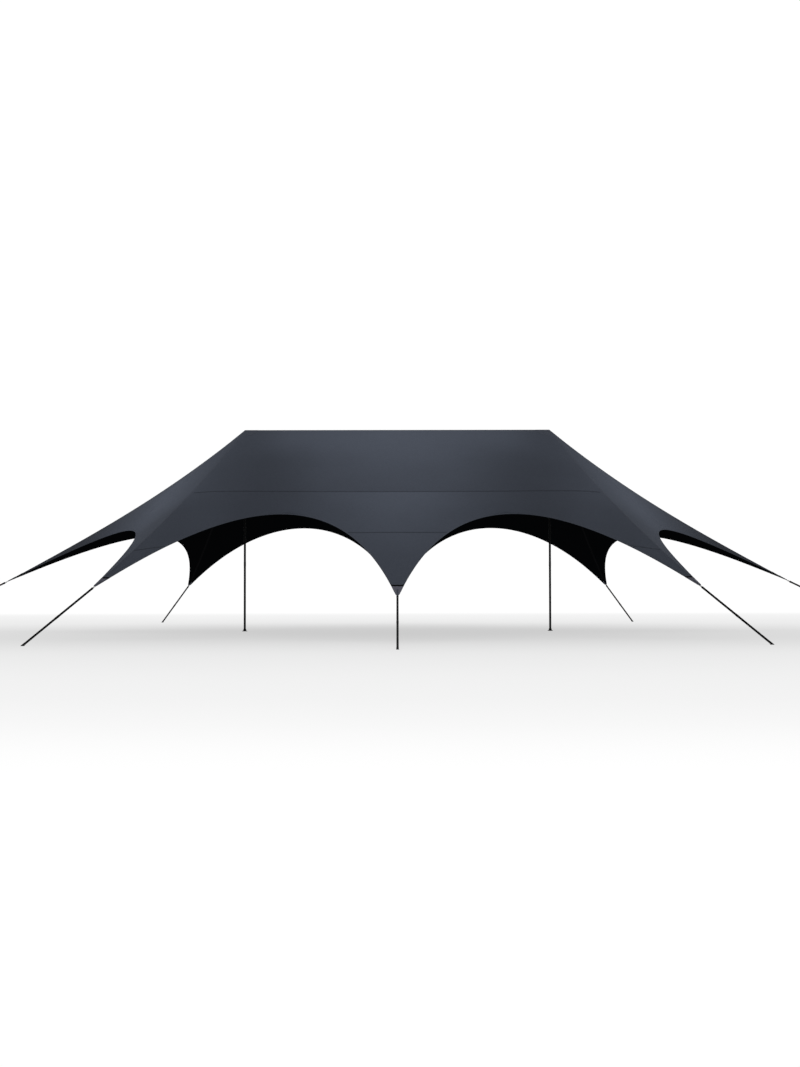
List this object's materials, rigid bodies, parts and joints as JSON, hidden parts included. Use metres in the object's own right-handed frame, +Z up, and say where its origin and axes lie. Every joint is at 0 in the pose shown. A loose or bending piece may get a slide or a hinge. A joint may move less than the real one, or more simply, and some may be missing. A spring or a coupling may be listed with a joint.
{
  "type": "double-peak star canopy tent",
  "caption": "Open star-shaped canopy tent: a stretched canopy on upright centre poles falls in arms to leaning side poles, with arched entrances between the arms.",
  "frame": {"origin": "on the ground at the middle of the tent, under the middle of the ridge", "axes": "+X along the ridge to the right seen from the front, +Y from the front to the back, +Z up"},
  "size_m": [22.16, 19.3252, 4.4999],
  "materials": {
    "canopy": "matt woven slate grey",
    "centre_pole": "black powder coat",
    "side_pole": "black powder coat",
    "pole_head": "black powder coat",
    "base_plate": "black powder coat",
    "foot_plate": "black powder coat",
    "tip_link": "galvanised steel"
  },
  "bodies": {
    "root": {"canopy_front_centre": "canopy", "canopy_front_left": "canopy", "canopy_front_right": "canopy", "canopy_back_centre": "canopy", "canopy_back_left": "canopy", "canopy_back_right": "canopy", "canopy_left_end": "canopy", "canopy_right_end": "canopy", "centre_pole_left": "centre_pole", "pole_head_left": "pole_head", "base_plate_left": "base_plate", "centre_pole_right": "centre_pole", "pole_head_right": "pole_head", "base_plate_right": "base_plate", "tip_link_front_centre": "tip_link", "side_pole_front_centre": "side_pole", "foot_plate_front_centre": "foot_plate", "tip_link_front_left": "tip_link", "side_pole_front_left": "side_pole", "foot_plate_front_left": "foot_plate", "tip_link_front_right": "tip_link", "side_pole_front_right": "side_pole", "foot_plate_front_right": "foot_plate", "tip_link_back_centre": "tip_link", "side_pole_back_centre": "side_pole", "foot_plate_back_centre": "foot_plate", "tip_link_back_left": "tip_link", "side_pole_back_left": "side_pole", "foot_plate_back_left": "foot_plate", "tip_link_back_right": "tip_link", "side_pole_back_right": "side_pole", "foot_plate_back_right": "foot_plate", "tip_link_left_end": "tip_link", "side_pole_left_end": "side_pole", "foot_plate_left_end": "foot_plate", "tip_link_right_end": "tip_link", "side_pole_right_end": "side_pole", "foot_plate_right_end": "foot_plate"}
  },
  "joints": []
}
